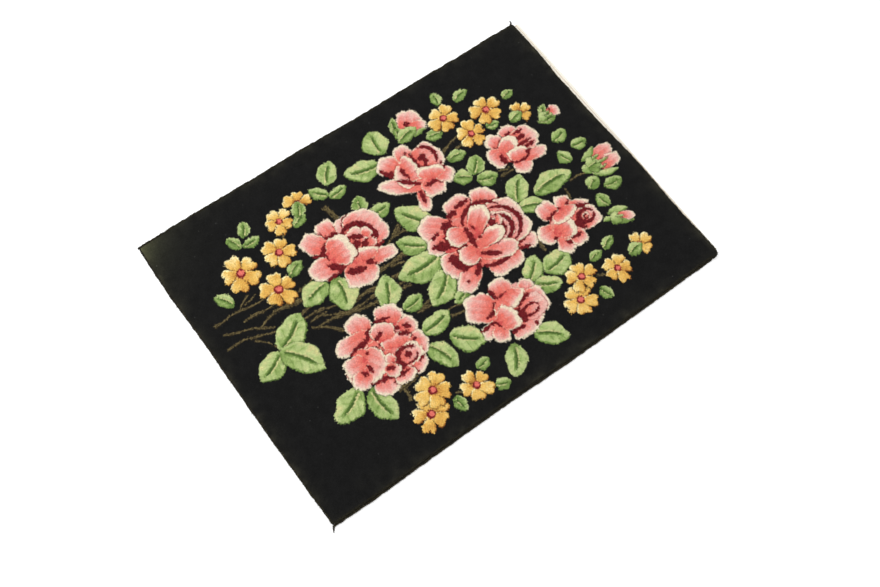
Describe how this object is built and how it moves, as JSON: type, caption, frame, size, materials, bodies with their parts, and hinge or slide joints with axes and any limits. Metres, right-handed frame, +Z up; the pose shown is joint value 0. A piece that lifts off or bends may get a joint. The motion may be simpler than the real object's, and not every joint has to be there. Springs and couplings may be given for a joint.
{
  "type": "persian rug",
  "caption": "Small flat rectangular rug: short black wool pile with a spray of pink roses, overcast cords along the long sides and a narrow cream cotton web at one end. Lies on a floor.",
  "frame": {"origin": "centre of the pile's underside, on the floor", "axes": "+X along the rug's length, towards the end with the cotton web; +Y across its width; +Z up, out of the pile"},
  "size_m": [0.8376, 0.6175, 0.0085],
  "materials": {
    "pile": "cut wool pile, black ground with pink, cream, green and gold blossoms",
    "cord": "olive-black wool yarn wrapped over an edge cord",
    "web": "plain cream cotton web"
  },
  "bodies": {
    "root": {"pile_field": "pile", "edge_cord_near": "cord", "edge_cord_far": "cord", "end_web": "web"}
  },
  "joints": []
}
